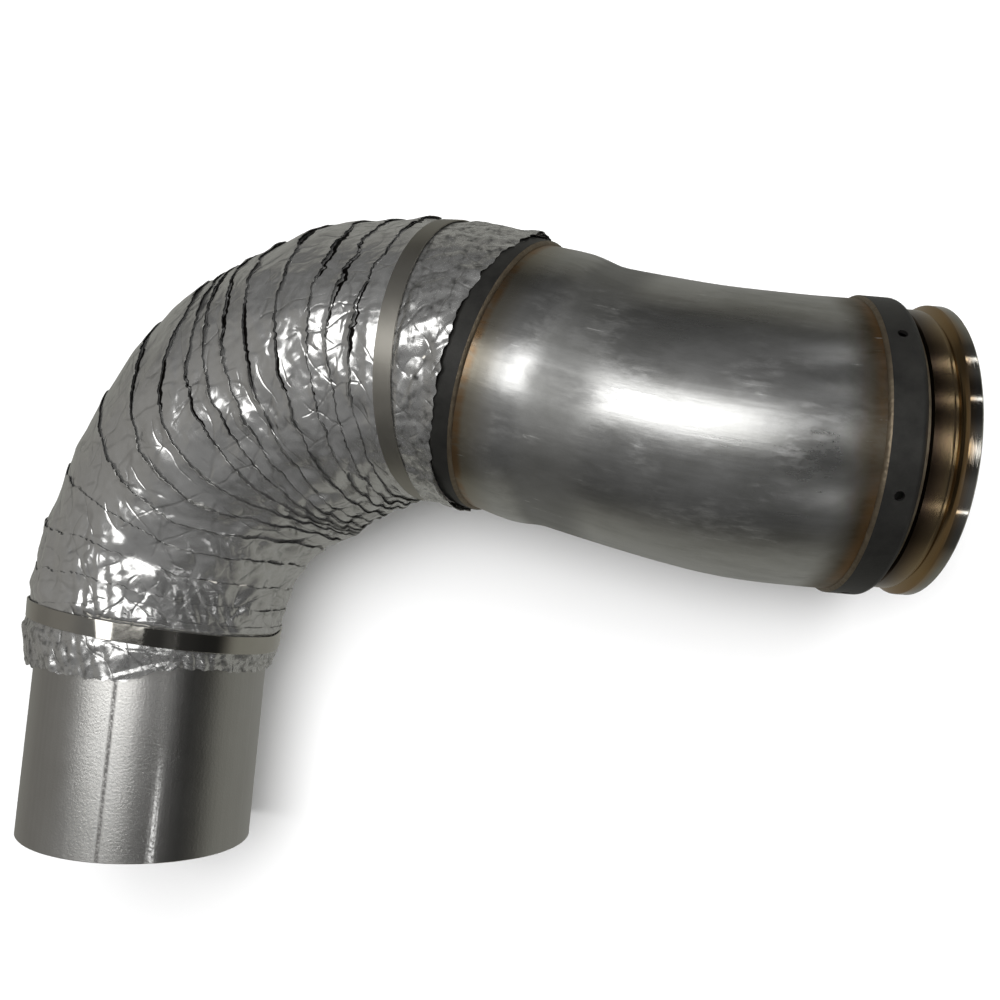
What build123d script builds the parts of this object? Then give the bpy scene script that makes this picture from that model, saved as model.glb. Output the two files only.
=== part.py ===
from build123d import *

import os
from math import cos, degrees, pi, radians, sin

os.makedirs("parts", exist_ok=True)

# A heavy-truck exhaust pipe with a heat-shielded bend, in millimetres, lying as it rests on a floor.
# Origin: centre of the inlet flange's sealing face. +Z is up, +X points out of the inlet along the floor.
# A station is the length along the centreline from the inlet face to a place on the pipe.

# Attitude at rest
INLET_DIP = 16.1  # how far the inlet's axis points below the horizontal, degrees
INLET_ROLL = 142.7  # turn about that axis which brings the bends down onto the floor

# Centreline: straight, shallow bend, straight, elbow, straight
INLET_RUN = 58.0
SHELL_BEND_RADIUS = 225.0
SHELL_BEND_ANGLE = 25.5
NECK_RUN = 54.0
ELBOW_RADIUS = 158.0
ELBOW_ANGLE = 105.0
ELBOW_ROLL = 124.0  # turn of the elbow's plane from the shallow bend's plane, degrees
OUTLET_RUN = 116.0
SLIP_LENGTH = 98.0  # outlet end sized after bending, for a slip joint
SLIP_SIZING = 0.15  # radial, how much the slip end is drawn down
SLIP_TAPER = 3.5  # lead from the full tube down to the sized end

# Gas pipe, 5 inch tube
PIPE_OD = 127.0
PIPE_WALL = 1.65
PIPE_JOINT_BEFORE_NECK_COLLAR = 14.0  # butt joint of the two tubes, ahead of the neck collar
PIPE_WELD_LEG = 1.6

# Machined flange for a V-band clamp
SOCKET_CLEARANCE = 0.1  # radial, every ring that slides over the gas pipe
SOCKET_DEPTH = 17.5
FLANGE_LENGTH = 20.5
FLANGE_LIP = FLANGE_LENGTH - SOCKET_DEPTH  # the step that the gas pipe butts against
HUB_WALL = 2.9
RIM_HEIGHT = 2.6  # rim above the hub
RIM_WIDTH = 5.8
RIM_CHAMFER = 0.8
GROOVE_DEPTH = 1.3  # clamp groove below the hub, between rim and hub
GROOVE_END = 10.5  # station of the hub's front edge

# Heat-shield shell around the shallow bend
ANNULUS = 4.2  # insulated gap between gas pipe and shell
SHELL_WALL = 1.5
WAIST_DRAW = 2.4  # how much the shell necks in at its waist
WAIST_PLACE = 0.68  # waist along the shell's curved length
WAIST_RISE = 92.0  # length over which it necks in
WAIST_LEAN = 0.8  # how far the necked skin stands off the centreline
WAIST_LEAN_ANGLE = 290.0  # towards this angle about it
WAIST_TO_WELD = 14.0  # full-size stretch left between the waist's flare and the neck collar's weld
WAIST_SECTIONS = 9

# Closing collars
COLLAR_WALL = 1.7
COLLAR_CORNER = 3.0
LAP_CLEARANCE = 0.1  # radial, shell end inside the collar's sleeve
INLET_COLLAR_LENGTH = 15.5
INLET_COLLAR_GAP = 2.5  # filled by the weld behind the flange
NECK_COLLAR_LENGTH = 11.2
SHELL_LAP = 3.5
VENT_COUNT = 6
VENT_DIAMETER = 4.4
VENT_FROM_WEB = 8.6
VENT_START = 13.0  # angle of the first vent about the inlet's axis
COLLAR_WELD_LEG = 1.7

# Insulation mats
MAT_CLEARANCE = 0.15
MAT_NECK = 7.7  # thickness under the upper strap
MAT_CROWN = 12.3  # thickness over the crown of the elbow
MAT_TAIL = 4.4  # thickness under the lower strap
CROWN_START = 298.0
CROWN_END = 340.0
TAIL_START = 464.0

# Foil wrap: a cuff, lapped turns around the elbow, and a gathered skirt
FOIL_WALL = 1.2
FOIL_LAP = 0.8  # a turn's free edge stands this much above the turn upstream of it
FOIL_TURNS = 15
CUFF_OVERLAP = 3.4  # foil drawn over the neck collar
CUFF_CLEARANCE = 0.5
SKIRT_LENGTH = 12.5  # foil below the lower strap
SKIRT_GAP = 3.2  # skirt's mouth clear of the tube

# Steel strap bands with crimped wing seals
STRAP_WIDTH = 9.5
STRAP_THICKNESS = 0.7
STRAP_CLEARANCE = 0.3
UPPER_STRAP_FROM_COLLAR = 29.0  # strap's middle from the end of the neck collar
LOWER_STRAP_FROM_ELBOW = 3.1  # strap's middle before the end of the elbow
STRAP_MARGIN = 1.0  # flat seat in the foil beyond each edge of a strap
STRAP_TAIL_ARC = 30.0  # overlapping tail, degrees
SEAL_ARC = 12.0
SEAL_WALL = 0.6
SEAL_CLEARANCE = 0.15
SEAL_EAR = 2.8  # how far a folded wing reaches under the band
UPPER_SEAL_ANGLE = 335.0
LOWER_SEAL_ANGLE = 320.0

PIPE_RADIUS = PIPE_OD / 2
BORE_RADIUS = PIPE_RADIUS - PIPE_WALL
SOCKET_RADIUS = PIPE_RADIUS + SOCKET_CLEARANCE
HUB_RADIUS = PIPE_RADIUS + HUB_WALL
RIM_RADIUS = HUB_RADIUS + RIM_HEIGHT
SHELL_RADIUS = PIPE_RADIUS + ANNULUS + SHELL_WALL
SLEEVE_RADIUS = SHELL_RADIUS + LAP_CLEARANCE
COLLAR_RADIUS = SLEEVE_RADIUS + COLLAR_WALL

SHELL_BEND_LENGTH = SHELL_BEND_RADIUS * radians(SHELL_BEND_ANGLE)
ELBOW_LENGTH = ELBOW_RADIUS * radians(ELBOW_ANGLE)
ROUTE = [
    (INLET_RUN, None, 0.0),
    (SHELL_BEND_LENGTH, SHELL_BEND_RADIUS, 0.0),
    (NECK_RUN, None, 0.0),
    (ELBOW_LENGTH, ELBOW_RADIUS, ELBOW_ROLL),
    (OUTLET_RUN, None, 0.0),
]

# Stations that follow from the sizes above
INLET_WEB = FLANGE_LENGTH + INLET_COLLAR_GAP
INLET_SLEEVE_END = INLET_WEB + INLET_COLLAR_LENGTH
SHELL_START = INLET_SLEEVE_END - SHELL_LAP
SHELL_BEND_END = INLET_RUN + SHELL_BEND_LENGTH
NECK_WEB = SHELL_BEND_END + NECK_RUN
NECK_SLEEVE_END = NECK_WEB - NECK_COLLAR_LENGTH
SHELL_END = NECK_SLEEVE_END + SHELL_LAP
SHELL_SKIN_END = NECK_SLEEVE_END - 2 * COLLAR_WELD_LEG
WAIST = INLET_RUN + WAIST_PLACE * (NECK_SLEEVE_END - INLET_RUN)
WAIST_START = WAIST - WAIST_RISE
WAIST_END = SHELL_SKIN_END - WAIST_TO_WELD
PIPE_JOINT = NECK_SLEEVE_END - PIPE_JOINT_BEFORE_NECK_COLLAR
ELBOW_END = NECK_WEB + ELBOW_LENGTH
OUTLET_END = ELBOW_END + OUTLET_RUN
SLIP_START = OUTLET_END - SLIP_LENGTH
FOIL_START = NECK_WEB - CUFF_OVERLAP
UPPER_STRAP = NECK_WEB + UPPER_STRAP_FROM_COLLAR
LOWER_STRAP = ELBOW_END - LOWER_STRAP_FROM_ELBOW
STRAP_SEAT = STRAP_WIDTH / 2 + STRAP_MARGIN
FOIL_END = LOWER_STRAP + STRAP_WIDTH / 2 + SKIRT_LENGTH
INNER_BEND_SHARE = 1 - (PIPE_RADIUS + COLLAR_WELD_LEG) / ELBOW_RADIUS
ELBOW_MAT_START = NECK_WEB + (COLLAR_WELD_LEG + 2 * MAT_CLEARANCE) / INNER_BEND_SHARE
ELBOW_MAT_END = LOWER_STRAP + STRAP_SEAT + 2


def bend_step(length, radius, roll):
    """Frame change along a bend that turns towards local +X once rolled about the run."""
    turn = Pos(radius, 0, 0) * Rot(0, degrees(length / radius), 0) * Pos(-radius, 0, 0)
    return Rot(0, 0, roll) * turn * Rot(0, 0, -roll)


def frame_at(station):
    """Frame on the centreline, local +Z running downstream."""
    frame = Rot(0, INLET_DIP - 90, 0) * Rot(0, 0, INLET_ROLL)
    for length, radius, roll in ROUTE:
        step = min(station, length)
        frame *= Pos(0, 0, step) if radius is None else bend_step(step, radius, roll)
        station -= step
    return frame


def rod(start, end, radius):
    """Round bar that follows the centreline between two stations, leg by leg."""
    legs = []
    leg_start = 0.0
    for length, bend_radius, roll in ROUTE:
        low = max(start, leg_start)
        high = min(end, leg_start + length)
        leg_start += length
        if high - low < 1e-6:
            continue
        frame = frame_at(low) * Rot(0, 0, roll)
        disc = frame * Circle(radius)
        if bend_radius is None:
            legs.append(extrude(disc, high - low))
        else:
            centre = (frame * Pos(bend_radius, 0, 0)).position
            hinge = Axis(centre, Plane(frame).y_dir)
            legs.append(revolve(disc, hinge, degrees((high - low) / bend_radius)))
    bar = legs[0]
    for leg in legs[1:]:
        bar += leg
    return bar


def skin(stations, radius_of, lean_of):
    """Smooth solid through circles whose radius, and lean off the centreline, follow the station."""
    rings = [(frame_at(station) * lean_of(station), radius_of(station)) for station in stations]
    return loft([frame * Circle(radius) for frame, radius in rings])


def stack(rings):
    """Solid with straight-sided turns between circles, each given as a frame and a radius."""
    return loft([frame * Circle(radius) for frame, radius in rings], ruled=True)


def spread(start, end, count):
    """Evenly spaced stations, both ends included."""
    return [start + (end - start) * index / count for index in range(count + 1)]


def turned(frame, outline, arc=360.0, rounded=()):
    """Ring turned about the local Z axis from a half section of (radius, height) corners."""
    section = make_face(Polyline(*[(r, 0, z) for r, z in outline], close=True))
    for (r, z), size in rounded:
        corner = section.vertices().sort_by_distance((r, 0, z))[0]
        section = fillet(corner, size)
    return frame * revolve(section, Axis.Z, arc)


def smooth(share):
    """Eases from 0 to 1 as share goes from 0 to 1."""
    share = min(max(share, 0.0), 1.0)
    return (1 - cos(pi * share)) / 2


def shell_radius(station):
    """Outside of the shell: full size at both ends, necked in at the waist."""
    if station < WAIST:
        share = 1 - (WAIST - station) / WAIST_RISE
    else:
        share = 1 - (station - WAIST) / (WAIST_END - WAIST)
    return SHELL_RADIUS - WAIST_DRAW * smooth(share)


def waist_lean(station):
    """Shift off the centreline that grows and fades along the necked stretch."""
    share = (station - WAIST_START) / (WAIST_END - WAIST_START)
    lean = WAIST_LEAN * sin(pi * min(max(share, 0), 1) ** 1.4) ** 2
    angle = radians(WAIST_LEAN_ANGLE)
    return Pos(lean * cos(angle), lean * sin(angle), 0)


def mat_thickness(station):
    """Insulation on the elbow: thickest over the crown, thin under both straps."""
    if station < CROWN_START:
        seat_end = UPPER_STRAP + STRAP_SEAT
        share = (station - seat_end) / (CROWN_START - seat_end)
        return MAT_NECK + (MAT_CROWN - MAT_NECK) * smooth(share)
    share = (station - CROWN_END) / (TAIL_START - CROWN_END)
    return MAT_CROWN + (MAT_TAIL - MAT_CROWN) * smooth(share)


def mat_radius(station):
    return PIPE_RADIUS + MAT_CLEARANCE + mat_thickness(station)


def foil_radius(station):
    """Outside of the foil where it lies flat on the mat."""
    return mat_radius(station) + MAT_CLEARANCE + FOIL_WALL


def inlet_flange():
    """Turned ring: sealing face, clamp rim, tapered groove, hub and a socket for the gas pipe."""
    groove_radius = HUB_RADIUS - GROOVE_DEPTH
    outline = [
        (BORE_RADIUS, 0),
        (RIM_RADIUS - RIM_CHAMFER, 0),
        (RIM_RADIUS, RIM_CHAMFER),
        (RIM_RADIUS, RIM_WIDTH),
        (groove_radius, GROOVE_END - GROOVE_DEPTH - 0.4),
        (groove_radius, GROOVE_END - GROOVE_DEPTH / 2),
        (HUB_RADIUS, GROOVE_END),
        (HUB_RADIUS, FLANGE_LENGTH - 1),
        (HUB_RADIUS - 1, FLANGE_LENGTH),
        (SOCKET_RADIUS, FLANGE_LENGTH),
        (SOCKET_RADIUS, FLANGE_LIP),
        (BORE_RADIUS, FLANGE_LIP),
    ]
    return turned(frame_at(0), outline)


def collar(frame, length):
    """Pressed ring: a web on the gas pipe that turns into a sleeve over the shell's end.
    The bend's inside, which the mat hides, is left square."""
    outline = [
        (SOCKET_RADIUS, 0),
        (COLLAR_RADIUS, 0),
        (COLLAR_RADIUS, length),
        (SLEEVE_RADIUS, length),
        (SLEEVE_RADIUS, COLLAR_WALL),
        (SOCKET_RADIUS, COLLAR_WALL),
    ]
    return turned(frame, outline, rounded=[((COLLAR_RADIUS, 0), COLLAR_CORNER)])


def inlet_collar():
    """Collar behind the flange, with a ring of vents into the insulated gap."""
    frame = frame_at(INLET_WEB)
    ring = collar(frame, INLET_COLLAR_LENGTH)
    drill = Cylinder(VENT_DIAMETER / 2, COLLAR_WALL * 4)
    for index in range(VENT_COUNT):
        angle = VENT_START + index * 360 / VENT_COUNT
        aim = Rot(0, 0, angle) * Pos(SLEEVE_RADIUS, 0, VENT_FROM_WEB) * Rot(0, 90, 0)
        ring -= frame * aim * drill
    return ring


def neck_collar():
    """Collar at the other end of the shell, its web on the elbow's side."""
    return collar(frame_at(NECK_WEB) * Rot(180, 0, 0), NECK_COLLAR_LENGTH)


def shell_solid(start, end, inset):
    """Outside or inside form of the shell: a round bent tube, necked in ahead of its far end."""
    form = rod(start, WAIST_START, SHELL_RADIUS - inset)
    necked = spread(WAIST_START, SHELL_SKIN_END, WAIST_SECTIONS)
    form += skin(necked, lambda station: shell_radius(station) - inset, waist_lean)
    return form + rod(SHELL_SKIN_END, end, SHELL_RADIUS - inset)


def outer_shell():
    """Stainless tube around the insulated gap, both ends inside the collars' sleeves."""
    outside = shell_solid(SHELL_START, SHELL_END, 0)
    return outside - shell_solid(SHELL_START, SHELL_END, SHELL_WALL)


def shell_mat():
    """Fibre mat that fills the gap between gas pipe and shell."""
    start = SHELL_START + 1
    end = SHELL_END - 1
    outside = shell_solid(start, end, SHELL_WALL + MAT_CLEARANCE)
    return outside - rod(start, end, PIPE_RADIUS + MAT_CLEARANCE)


def inlet_pipe():
    """Gas pipe from the flange's socket through the shallow bend."""
    return rod(FLANGE_LIP, PIPE_JOINT, PIPE_RADIUS) - rod(FLANGE_LIP, PIPE_JOINT, BORE_RADIUS)


def sized_rod(radius):
    """Outside or inside form of the elbow's tube, tapered down to its sized end."""
    lead = [
        (frame_at(SLIP_START - SLIP_TAPER), radius),
        (frame_at(SLIP_START), radius - SLIP_SIZING),
    ]
    form = rod(PIPE_JOINT, SLIP_START - SLIP_TAPER, radius) + stack(lead)
    return form + rod(SLIP_START, OUTLET_END, radius - SLIP_SIZING)


def elbow_pipe():
    """Gas pipe from the joint through the elbow to the bare outlet end, sized to slip."""
    return sized_rod(PIPE_RADIUS) - sized_rod(BORE_RADIUS)


def turn_edges():
    """Frames of the turns' edges with their stations, from the upper strap's seat to the lower's."""
    stations = spread(UPPER_STRAP + STRAP_SEAT, LOWER_STRAP - STRAP_SEAT, FOIL_TURNS)
    first = (frame_at(UPPER_STRAP) * Pos(0, 0, STRAP_SEAT), stations[0])
    last = (frame_at(LOWER_STRAP) * Pos(0, 0, -STRAP_SEAT), stations[-1])
    return [first, *[(frame_at(station), station) for station in stations[1:-1]], last]


def above_turns(start):
    """Frames from the start of a layer to the straight seat of the upper strap."""
    edges = [(frame_at(station), station) for station in sorted({start, ELBOW_MAT_START})]
    seat = (frame_at(UPPER_STRAP) * Pos(0, 0, -STRAP_SEAT), UPPER_STRAP - STRAP_SEAT)
    return [*edges, seat]


def below_turns(end):
    """Frames from the straight seat of the lower strap to the end of a layer."""
    seat = (frame_at(LOWER_STRAP) * Pos(0, 0, STRAP_SEAT), LOWER_STRAP + STRAP_SEAT)
    return [seat, *[(frame_at(station), station) for station in sorted({end, ELBOW_MAT_END})]]


def elbow_mat():
    """Fibre blanket wound on the elbow under the foil."""
    edges = above_turns(ELBOW_MAT_START) + turn_edges() + below_turns(ELBOW_MAT_END)
    inside = rod(ELBOW_MAT_START, ELBOW_MAT_END, PIPE_RADIUS + MAT_CLEARANCE)
    return stack([(frame, mat_radius(station)) for frame, station in edges]) - inside


def foil_inside(station):
    """Inside of the foil: over the collar at the cuff, on the mat, and drawn in at the skirt."""
    cuff = COLLAR_RADIUS + CUFF_CLEARANCE
    mat = mat_radius(station) + MAT_CLEARANCE
    mouth = PIPE_RADIUS + SKIRT_GAP
    if station < UPPER_STRAP:
        share = (station - FOIL_START) / (UPPER_STRAP - STRAP_SEAT - FOIL_START)
        return cuff + (mat - cuff) * smooth(share)
    share = (station - LOWER_STRAP - STRAP_SEAT) / (FOIL_END - LOWER_STRAP - STRAP_SEAT)
    return mat + (mouth - mat) * smooth(share)


def foil_wrap():
    """Foil strip wound around the blanket, each turn's free edge standing over the one upstream."""
    turns = turn_edges()
    cuff = above_turns(FOIL_START)
    skirt = below_turns(FOIL_END)
    edges = cuff + turns + skirt
    bands = []
    for (near_frame, near), (far_frame, far) in zip(edges, edges[1:]):
        lap = FOIL_LAP if turns[0][1] <= near < turns[-1][1] else 0.0
        near_disc = near_frame * Circle(foil_inside(near) + FOIL_WALL + lap)
        far_disc = far_frame * Circle(foil_inside(far) + FOIL_WALL)
        bands.append(loft([near_disc, far_disc], ruled=True))
    wrap = bands[0] + bands[1:]
    wrap -= stack([(frame, foil_inside(station)) for frame, station in edges])
    for station, angle in ((UPPER_STRAP, UPPER_SEAL_ANGLE), (LOWER_STRAP, LOWER_SEAL_ANGLE)):
        wrap -= seal_pocket(station, angle)
    return wrap


def strap_frame(station, angle):
    """Frame of a strap, its local X axis pointing at the seal."""
    return frame_at(station) * Rot(0, 0, angle)


def strap(station, angle):
    """Steel band around the foil, with the tail lapped under the seal."""
    inner = foil_radius(station) + STRAP_CLEARANCE
    half = STRAP_WIDTH / 2
    frame = strap_frame(station, angle)

    def layer(low, arc, start):
        high = low + STRAP_THICKNESS
        outline = [(low, -half), (high, -half), (high, half), (low, half)]
        return turned(frame * Rot(0, 0, start), outline, arc)

    return layer(inner, 360.0, 0.0) + layer(inner + STRAP_THICKNESS, STRAP_TAIL_ARC, -STRAP_TAIL_ARC / 2)


def strap_seal(station, angle):
    """Crimped seal: a sheet bridge over both layers of band, its wings folded under the edges."""
    inner = foil_radius(station) + STRAP_CLEARANCE
    slot_low = inner - SEAL_CLEARANCE
    slot_high = inner + 2 * STRAP_THICKNESS + SEAL_CLEARANCE
    slot_half = STRAP_WIDTH / 2 + SEAL_CLEARANCE
    low = slot_low - SEAL_WALL
    high = slot_high + SEAL_WALL
    half = slot_half + SEAL_WALL
    ear = slot_half - SEAL_EAR
    outline = [
        (low, ear), (low, half), (high, half), (high, -half), (low, -half), (low, -ear),
        (slot_low, -ear), (slot_low, -slot_half), (slot_high, -slot_half),
        (slot_high, slot_half), (slot_low, slot_half), (slot_low, ear),
    ]
    return turned(strap_frame(station, angle) * Rot(0, 0, -SEAL_ARC / 2), outline, SEAL_ARC)


def seal_pocket(station, angle):
    """Dent that a seal's folded wings press into the foil."""
    top = foil_radius(station) + STRAP_CLEARANCE + SEAL_WALL
    floor = foil_radius(station) + STRAP_CLEARANCE - 2 * SEAL_CLEARANCE - SEAL_WALL
    half = STRAP_WIDTH / 2 + 2 * SEAL_CLEARANCE + SEAL_WALL
    arc = SEAL_ARC + 1
    outline = [(floor, -half), (top, -half), (top, half), (floor, half)]
    return turned(strap_frame(station, angle) * Rot(0, 0, -arc / 2), outline, arc)


def fillet_weld(frame, radius, leg_out, leg_along):
    """Weld bead in the corner above a round surface, its face slightly full."""
    corner = (radius, 0, 0)
    top = (radius + leg_out, 0, 0)
    toe = (radius, 0, leg_along)
    crest = (radius + leg_out * 0.62, 0, leg_along * 0.62)
    section = make_face([Line(corner, top), ThreePointArc(top, crest, toe), Line(toe, corner)])
    return frame * revolve(section, Axis.Z)


def flange_weld():
    """Bead that fills the gap between the flange's hub and the inlet collar's web."""
    top = SOCKET_RADIUS + PIPE_WELD_LEG
    outline = [(PIPE_RADIUS, 0), (top, 0), (top, INLET_COLLAR_GAP), (PIPE_RADIUS, INLET_COLLAR_GAP)]
    return turned(frame_at(FLANGE_LENGTH), outline)


def inlet_shell_weld():
    """Bead between the inlet collar's sleeve and the shell."""
    return fillet_weld(frame_at(INLET_SLEEVE_END), SHELL_RADIUS, COLLAR_WELD_LEG, COLLAR_WELD_LEG)


def neck_shell_weld():
    """Bead between the neck collar's sleeve and the shell."""
    frame = frame_at(NECK_SLEEVE_END) * Rot(180, 0, 0)
    return fillet_weld(frame, SHELL_RADIUS, COLLAR_WELD_LEG, COLLAR_WELD_LEG)


def neck_pipe_weld():
    """Bead between the neck collar's web and the elbow's pipe, under the foil."""
    return fillet_weld(frame_at(NECK_WEB), PIPE_RADIUS, COLLAR_WELD_LEG, COLLAR_WELD_LEG)


PARTS = {
    "inlet_flange": inlet_flange(),
    "flange_weld": flange_weld(),
    "inlet_collar": inlet_collar(),
    "inlet_shell_weld": inlet_shell_weld(),
    "outer_shell": outer_shell(),
    "shell_mat": shell_mat(),
    "inlet_pipe": inlet_pipe(),
    "neck_shell_weld": neck_shell_weld(),
    "neck_collar": neck_collar(),
    "neck_pipe_weld": neck_pipe_weld(),
    "elbow_pipe": elbow_pipe(),
    "elbow_mat": elbow_mat(),
    "foil_wrap": foil_wrap(),
    "upper_strap": strap(UPPER_STRAP, UPPER_SEAL_ANGLE),
    "upper_strap_seal": strap_seal(UPPER_STRAP, UPPER_SEAL_ANGLE),
    "lower_strap": strap(LOWER_STRAP, LOWER_SEAL_ANGLE),
    "lower_strap_seal": strap_seal(LOWER_STRAP, LOWER_SEAL_ANGLE),
}

for name, shape in PARTS.items():
    export_step(shape, f"parts/{name}.step")
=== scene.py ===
import bpy
import numpy as np
from math import cos, pi, radians, sin
from mathutils import Matrix, Vector


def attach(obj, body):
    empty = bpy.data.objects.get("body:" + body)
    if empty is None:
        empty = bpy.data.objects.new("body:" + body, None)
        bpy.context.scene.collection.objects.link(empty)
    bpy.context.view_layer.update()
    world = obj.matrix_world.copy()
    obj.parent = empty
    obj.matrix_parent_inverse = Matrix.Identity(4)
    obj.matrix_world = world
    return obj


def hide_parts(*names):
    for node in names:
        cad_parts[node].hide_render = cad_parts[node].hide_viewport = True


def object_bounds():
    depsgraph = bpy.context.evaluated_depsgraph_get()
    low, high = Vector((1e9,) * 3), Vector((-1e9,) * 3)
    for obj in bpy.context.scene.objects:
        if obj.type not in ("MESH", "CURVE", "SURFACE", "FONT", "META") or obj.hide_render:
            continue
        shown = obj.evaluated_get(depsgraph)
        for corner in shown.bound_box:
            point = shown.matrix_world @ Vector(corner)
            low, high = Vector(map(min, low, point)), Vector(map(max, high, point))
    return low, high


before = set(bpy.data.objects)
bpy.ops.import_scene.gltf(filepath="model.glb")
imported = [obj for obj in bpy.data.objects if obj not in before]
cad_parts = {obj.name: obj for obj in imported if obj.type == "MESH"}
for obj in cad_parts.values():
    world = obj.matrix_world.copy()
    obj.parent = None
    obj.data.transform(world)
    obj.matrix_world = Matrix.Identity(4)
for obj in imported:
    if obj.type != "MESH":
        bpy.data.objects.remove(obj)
CAD_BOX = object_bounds()

# The view: a camera high above the pipe, looking down on it with the outlet at the left. It stands where the
# photo's stood, worked out from the photo's outline and the ellipses of its rings.
CAMERA_PLACE = Vector((-0.05428, -0.07502, 0.51674))
CAMERA_RIGHT = Vector((0.95785, 0.08804, -0.27343)).normalized()
CAMERA_AHEAD = Vector((-0.27983, 0.07086, -0.95743)).normalized()
CAMERA_UP = CAMERA_RIGHT.cross(CAMERA_AHEAD).normalized()
CAMERA_FOCAL_PIXELS = 1007.0
IMAGE_PIXELS = 1000.0

camera = bpy.data.objects.new("camera", bpy.data.cameras.new("camera"))
bpy.context.scene.collection.objects.link(camera)
camera.data.sensor_width = 36.0
camera.data.lens = 36.0 * CAMERA_FOCAL_PIXELS / IMAGE_PIXELS
camera.data.clip_start = 0.01
camera.matrix_world = Matrix.Translation(CAMERA_PLACE) @ Matrix((
    (CAMERA_RIGHT.x, CAMERA_UP.x, -CAMERA_AHEAD.x, 0),
    (CAMERA_RIGHT.y, CAMERA_UP.y, -CAMERA_AHEAD.y, 0),
    (CAMERA_RIGHT.z, CAMERA_UP.z, -CAMERA_AHEAD.z, 0),
    (0, 0, 0, 1),
))
bpy.context.scene.camera = camera
bpy.context.scene.view_settings.view_transform = "Standard"


class Wire:
    """A shader socket that takes part in arithmetic: each operator adds one Math node."""

    def __init__(self, tree, socket):
        self.tree, self.socket = tree, socket

    def math(self, kind, *terms, first=None):
        made = self.tree.nodes.new("ShaderNodeMath")
        made.operation = kind
        for slot, term in enumerate([self if first is None else first, *terms]):
            if isinstance(term, Wire):
                self.tree.links.new(term.socket, made.inputs[slot])
            else:
                made.inputs[slot].default_value = term
        if first is not None:
            self.tree.links.new(self.socket, made.inputs[1])
        return Wire(self.tree, made.outputs[0])

    def __add__(self, other):
        return self.math("ADD", other)

    def __sub__(self, other):
        return self.math("SUBTRACT", other)

    def __mul__(self, other):
        return self.math("MULTIPLY", other)

    def __rsub__(self, other):
        return self.math("SUBTRACT", first=other)

    def __gt__(self, other):
        return self.math("GREATER_THAN", other)

    __radd__ = __add__
    __rmul__ = __mul__

    def band(self, low, high):
        """0 below low and 1 above high, eased between."""
        made = self.tree.nodes.new("ShaderNodeMapRange")
        made.interpolation_type = "SMOOTHSTEP"
        self.tree.links.new(self.socket, made.inputs["Value"])
        made.inputs["From Min"].default_value = low
        made.inputs["From Max"].default_value = high
        return Wire(self.tree, made.outputs[0])


class Nodes:
    """A node tree and short ways to add to it. node() adds any node: its settings first, then its sockets."""

    def __init__(self, tree):
        self.tree = tree

    def node(self, kind, settings=(), sockets=(), out=0):
        made = self.tree.nodes.new("ShaderNode" + kind)
        for key, value in dict(settings).items():
            if key == "stops":
                ramp = made.color_ramp
                while len(ramp.elements) < len(value):
                    ramp.elements.new(1.0)
                for element, (place, colour) in zip(ramp.elements, value):
                    element.position = place
                    element.color = (*colour, 1.0)
            else:
                setattr(made, key, value)
        for key, value in dict(sockets).items():
            if isinstance(value, Wire):
                self.tree.links.new(value.socket, made.inputs[key])
            else:
                made.inputs[key].default_value = value
        return Wire(self.tree, made.outputs[out])

    def toward(self, vector, way):
        """Cosine of a vector's angle to a fixed way."""
        return self.node("VectorMath", {"operation": "DOT_PRODUCT"}, {0: vector, 1: way}, out="Value")

    def stretch(self, vector, x, y, z):
        return self.node("VectorMath", {"operation": "MULTIPLY"}, {0: vector, 1: (x, y, z)})

    def noise(self, vector, scale, detail=3.0, rough=0.55, warp=0.0):
        sockets = {"Vector": vector, "Scale": scale, "Detail": detail, "Roughness": rough}
        return self.node("TexNoise", (), {**sockets, "Distortion": warp})

    def mix(self, share, low, high):
        def colour(value):
            return value if isinstance(value, Wire) else (*value, 1.0)

        sockets = {0: share, 6: colour(low), 7: colour(high)}
        return self.node("Mix", {"data_type": "RGBA"}, sockets, out=2)

    def ramp(self, value, *stops):
        return self.node("ValToRGB", {"stops": stops}, {0: value})


class Finish(Nodes):
    """One node-built surface finish on a principled shader."""

    def __init__(self, name, **sockets):
        self.material = bpy.data.materials.new(name)
        self.material.use_nodes = True
        super().__init__(self.material.node_tree)
        self.shader = self.tree.nodes["Principled BSDF"]
        for key, value in sockets.items():
            self.feed(key, value)

    def feed(self, socket, value):
        name = socket.replace("_", " ")
        if isinstance(value, Wire):
            self.tree.links.new(value.socket, self.shader.inputs[name])
        elif name == "Base Color":
            self.shader.inputs[name].default_value = (*value, 1.0)
        else:
            self.shader.inputs[name].default_value = value

    def place(self):
        return self.node("TexCoord", out="Object")

    def lay(self):
        """Place along the straightened pipe: station, and the two offsets from its axis."""
        return self.node("Attribute", {"attribute_name": "lay"}, out="Vector")

    def bump(self, height, distance, strength=1.0):
        return self.node("Bump", (), {"Strength": strength, "Distance": distance, "Height": height})


# The studio: a pale floor under the pipe, a grey room that the metal mirrors, one broad window-like
# lamp to the left of the camera, and a wide wash from above that only lights the floor.
FLOOR_SIZE = 6.0
FLOOR_DROP = 0.0002
LAMP_DISTANCE = 3.0

floor_mesh = bpy.data.meshes.new("floor")
half = FLOOR_SIZE / 2
floor_level = CAD_BOX[0].z - FLOOR_DROP
floor_mesh.from_pydata(
    [(-half, -half, floor_level), (half, -half, floor_level),
     (half, half, floor_level), (-half, half, floor_level)],
    [], [(0, 1, 2, 3)])
floor = bpy.data.objects.new("floor", floor_mesh)
bpy.context.scene.collection.objects.link(floor)
floor_finish = Finish("pale_floor", Base_Color=(0.93, 0.93, 0.93), Roughness=0.9)
floor_mesh.materials.append(floor_finish.material)
floor.visible_glossy = False


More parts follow.
